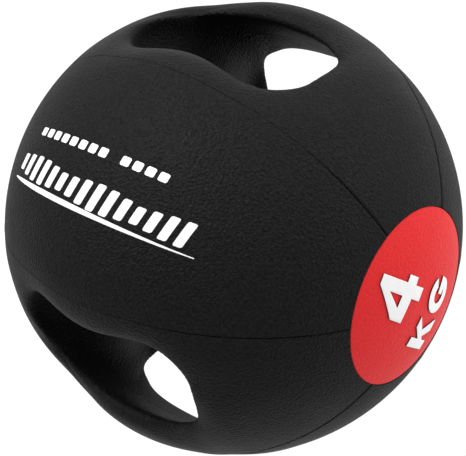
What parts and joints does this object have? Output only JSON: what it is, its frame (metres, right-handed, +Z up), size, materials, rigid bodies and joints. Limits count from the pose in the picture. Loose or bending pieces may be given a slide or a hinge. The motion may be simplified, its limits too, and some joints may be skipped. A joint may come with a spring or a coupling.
{
  "type": "medicine ball with hand grips",
  "caption": "Black rubber medicine ball with opposite hand grips cut into it, skin panels with seams, and red weight discs over the poles.",
  "frame": {"origin": "on the floor below the ball's centre, in the middle of the small flat that the ball stands on", "axes": "+X out of the right weight disc, +Y out of grip a, +Z up, out of the printed front panel"},
  "size_m": [0.2396, 0.24, 0.2389],
  "materials": {
    "skin_rubber": "fine pebbled",
    "core_rubber": "matt",
    "bladder_rubber": "matt",
    "valve_rubber": "matt",
    "red_rubber": "satin",
    "white_rubber": "satin",
    "white_ink": "matt"
  },
  "bodies": {
    "root": {"front_panel": "skin_rubber", "back_panel": "skin_rubber", "grip_a_front_panel": "skin_rubber", "grip_a_back_panel": "skin_rubber", "grip_b_front_panel": "skin_rubber", "grip_b_back_panel": "skin_rubber", "core_front_half": "core_rubber", "core_back_half": "core_rubber", "bladder": "bladder_rubber", "valve_housing": "valve_rubber", "valve_plug": "bladder_rubber", "weight_disc_right": "red_rubber", "weight_disc_left": "red_rubber", "numeral_4_right": "white_rubber", "numeral_4_left": "white_rubber", "unit_letter_k_right": "white_rubber", "unit_letter_k_left": "white_rubber", "unit_letter_g_right": "white_rubber", "unit_letter_g_left": "white_rubber", "print_line_long": "white_ink", "print_line_short": "white_ink", "print_wave": "white_ink"}
  },
  "joints": []
}
